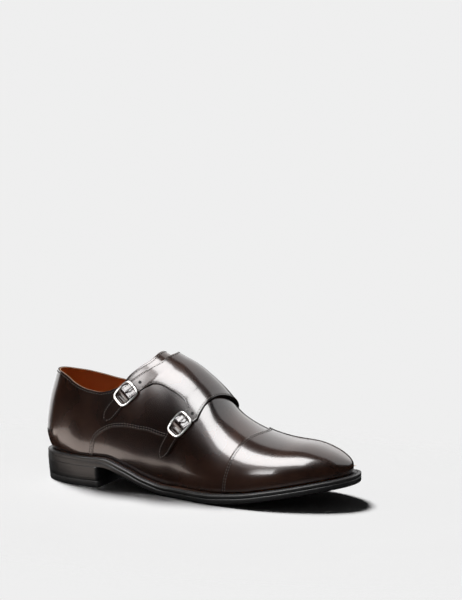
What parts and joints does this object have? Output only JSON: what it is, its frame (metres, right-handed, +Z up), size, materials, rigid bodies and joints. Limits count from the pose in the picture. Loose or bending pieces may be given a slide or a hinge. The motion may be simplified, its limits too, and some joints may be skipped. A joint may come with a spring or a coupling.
{
  "type": "double monk strap shoe",
  "caption": "Leather dress shoe with a toe cap, a flap over the instep and two buckled straps on its outer side, on a leather sole with a low heel.",
  "frame": {"origin": "on the floor, under the middle of the shoe's bounding box", "axes": "+X to the toe, +Y to the inner side of the foot, +Z up"},
  "size_m": [0.3002, 0.1, 0.1216],
  "materials": {
    "polished_leather": "high gloss, very dark brown",
    "lining_leather": "smooth tan",
    "welt_leather": "black dressing, semi-gloss, stitched",
    "black_edge": "black edge dressing, satin",
    "top_lift_rubber": "matt black",
    "polished_metal": "polished"
  },
  "bodies": {
    "root": {"heel_top_lift": "top_lift_rubber", "heel_stack": "black_edge", "outsole": "black_edge", "welt": "welt_leather", "insole": "lining_leather", "upper": "polished_leather", "toe_cap": "polished_leather", "tongue": "polished_leather", "strap_wing": "polished_leather", "buckle_frame_rear": "polished_metal", "buckle_prong_rear": "polished_metal", "buckle_frame_front": "polished_metal", "buckle_prong_front": "polished_metal"}
  },
  "joints": []
}
